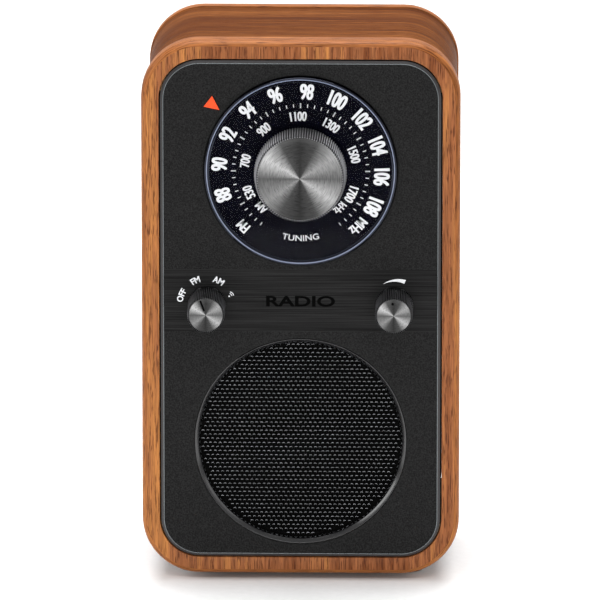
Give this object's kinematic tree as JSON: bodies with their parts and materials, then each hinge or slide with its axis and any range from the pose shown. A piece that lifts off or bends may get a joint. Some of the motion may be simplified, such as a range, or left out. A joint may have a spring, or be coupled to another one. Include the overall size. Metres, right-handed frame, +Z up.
{
  "type": "portable table radio",
  "caption": "Portable AM/FM radio in a waisted walnut cabinet, with a rotating dial, band and volume knobs, a round grille, a rear battery door and a telescopic antenna.",
  "frame": {"origin": "on the table, under the middle of the radio's overall box", "axes": "+Z up; +Y from the front panel towards the back; +X to the right, seen from the front"},
  "size_m": [0.1, 0.0816, 0.1743],
  "materials": {
    "walnut_veneer": "satin lacquered walnut veneer",
    "pine_block": "sawn",
    "black_panel": "finely textured, with a brushed band",
    "orange_marker": "satin",
    "dark_trim": "dark gloss with a bright turned edge",
    "black_grille": "black, perforated",
    "acoustic_cloth": "woven",
    "basket_steel": "zinc plated",
    "magnet_ferrite": "ground ferrite",
    "surround_rubber": "soft",
    "cone_paper": "pressed paper pulp",
    "copper_winding": "enamelled wire",
    "terminal_strip": "phenolic board with tinned tags",
    "screw_steel": "zinc plated",
    "black_screw": "black oxide",
    "control_steel": "pressed case",
    "shaft_steel": "turned",
    "dial_print": "black with white printing",
    "dial_window": "clear, polished",
    "knob_black": "satin, ribbed",
    "knob_aluminium": "spun, dark anodised",
    "circuit_board": "solder mask",
    "chip_black": "moulded",
    "module_can": "tinned shield",
    "capacitor_sleeve": "heat shrunk",
    "ferrite_core": "fired ferrite",
    "ivory_plastic": "moulded",
    "rear_black": "textured",
    "socket_black": "moulded",
    "contact_nickel": "nickel plated spring steel",
    "cell_jacket": "printed steel can",
    "antenna_chrome": "bright plated brass",
    "foot_rubber": "matt",
    "lead_wire": "insulated wire"
  },
  "bodies": {
    "cabinet": {"front_frame": "walnut_veneer", "cabinet_sleeve": "walnut_veneer", "rear_frame": "walnut_veneer", "corner_blocks": "pine_block", "rubber_feet": "foot_rubber", "front_panel": "black_panel", "tuning_pointer": "orange_marker", "grille_ring": "dark_trim", "speaker_grille": "black_grille", "dust_cloth": "acoustic_cloth", "speaker_basket": "basket_steel", "speaker_magnet": "magnet_ferrite", "speaker_yoke": "basket_steel", "speaker_surround": "surround_rubber", "speaker_terminals": "terminal_strip", "speaker_screws": "screw_steel", "tuning_control": "control_steel", "band_switch": "control_steel", "volume_control": "control_steel", "shaft_nuts": "screw_steel", "main_board": "circuit_board", "board_chips": "chip_black", "wireless_module": "module_can", "capacitors": "capacitor_sleeve", "board_screws": "screw_steel", "ferrite_rod": "ferrite_core", "ferrite_coil": "copper_winding", "ferrite_clamps": "ivory_plastic", "rear_panel": "rear_black", "rear_screws": "black_screw", "jack_board": "circuit_board", "aux_jack": "socket_black", "phones_jack": "socket_black", "power_inlet": "socket_black", "battery_tray": "rear_black", "battery_contacts": "contact_nickel", "battery_cells": "cell_jacket", "leads": "lead_wire"},
    "tuning_dial": {"dial_plate": "dial_print", "dial_lens": "dial_window", "tuning_knob": "knob_black", "tuning_knob_cap": "knob_aluminium", "tuning_shaft": "shaft_steel"},
    "band_selector": {"band_knob": "knob_black", "band_knob_cap": "knob_aluminium", "band_shaft": "shaft_steel"},
    "volume_dial": {"volume_knob": "knob_black", "volume_knob_cap": "knob_aluminium", "volume_shaft": "shaft_steel"},
    "moving_cone": {"speaker_cone": "cone_paper", "dust_cap": "cone_paper", "voice_coil": "copper_winding"},
    "battery_cover": {"battery_door": "rear_black"},
    "antenna_base": {"antenna_swivel": "antenna_chrome"},
    "antenna_mast": {"antenna_knuckle": "antenna_chrome", "antenna_tube_1": "antenna_chrome"},
    "antenna_section_2": {"antenna_tube_2": "antenna_chrome"},
    "antenna_section_3": {"antenna_tube_3": "antenna_chrome"},
    "antenna_section_4": {"antenna_tube_4": "antenna_chrome"},
    "antenna_section_5": {"antenna_rod": "antenna_chrome"}
  },
  "joints": [
    {"name": "tuning", "type": "hinge", "parent": "cabinet", "child": "tuning_dial", "pos_m": [0, -0.0266, 0.1331], "axis": [0, 1, 0], "range_deg": [-169, 55]},
    {"name": "band_select", "type": "hinge", "parent": "cabinet", "child": "band_selector", "pos_m": [-0.0294, -0.0266, 0.0898], "axis": [0, 1, 0], "range_deg": [-46, 92]},
    {"name": "volume", "type": "hinge", "parent": "cabinet", "child": "volume_dial", "pos_m": [0.0294, -0.0266, 0.0898], "axis": [0, 1, 0], "range_deg": [-145, 155]},
    {"name": "cone_travel", "type": "slide", "parent": "cabinet", "child": "moving_cone", "axis": [0, -1, 0], "range_m": [-0.0008, 0.0008], "stiffness_N_per_m": 800, "deforming": ["speaker_surround"]},
    {"name": "battery_door_hinge", "type": "hinge", "parent": "cabinet", "child": "battery_cover", "pos_m": [0, 0.0317, 0.0143], "axis": [-1, 0, 0], "range_deg": [0, 80]},
    {"name": "antenna_turn", "type": "hinge", "parent": "cabinet", "child": "antenna_base", "pos_m": [0.0375, 0.0376, 0.148], "axis": [0, 1, 0], "continuous": true},
    {"name": "antenna_tilt", "type": "hinge", "parent": "antenna_base", "child": "antenna_mast", "pos_m": [0.0375, 0.0376, 0.148], "axis": [1, 0, 0], "range_deg": [0, 90]},
    {"name": "antenna_pull_2", "type": "slide", "parent": "antenna_mast", "child": "antenna_section_2", "axis": [0, 0, -1], "range_m": [0, 0.085]},
    {"name": "antenna_pull_3", "type": "slide", "parent": "antenna_section_2", "child": "antenna_section_3", "axis": [0, 0, -1], "range_m": [0, 0.085]},
    {"name": "antenna_pull_4", "type": "slide", "parent": "antenna_section_3", "child": "antenna_section_4", "axis": [0, 0, -1], "range_m": [0, 0.085]},
    {"name": "antenna_pull_5", "type": "slide", "parent": "antenna_section_4", "child": "antenna_section_5", "axis": [0, 0, -1], "range_m": [0, 0.085]}
  ]
}
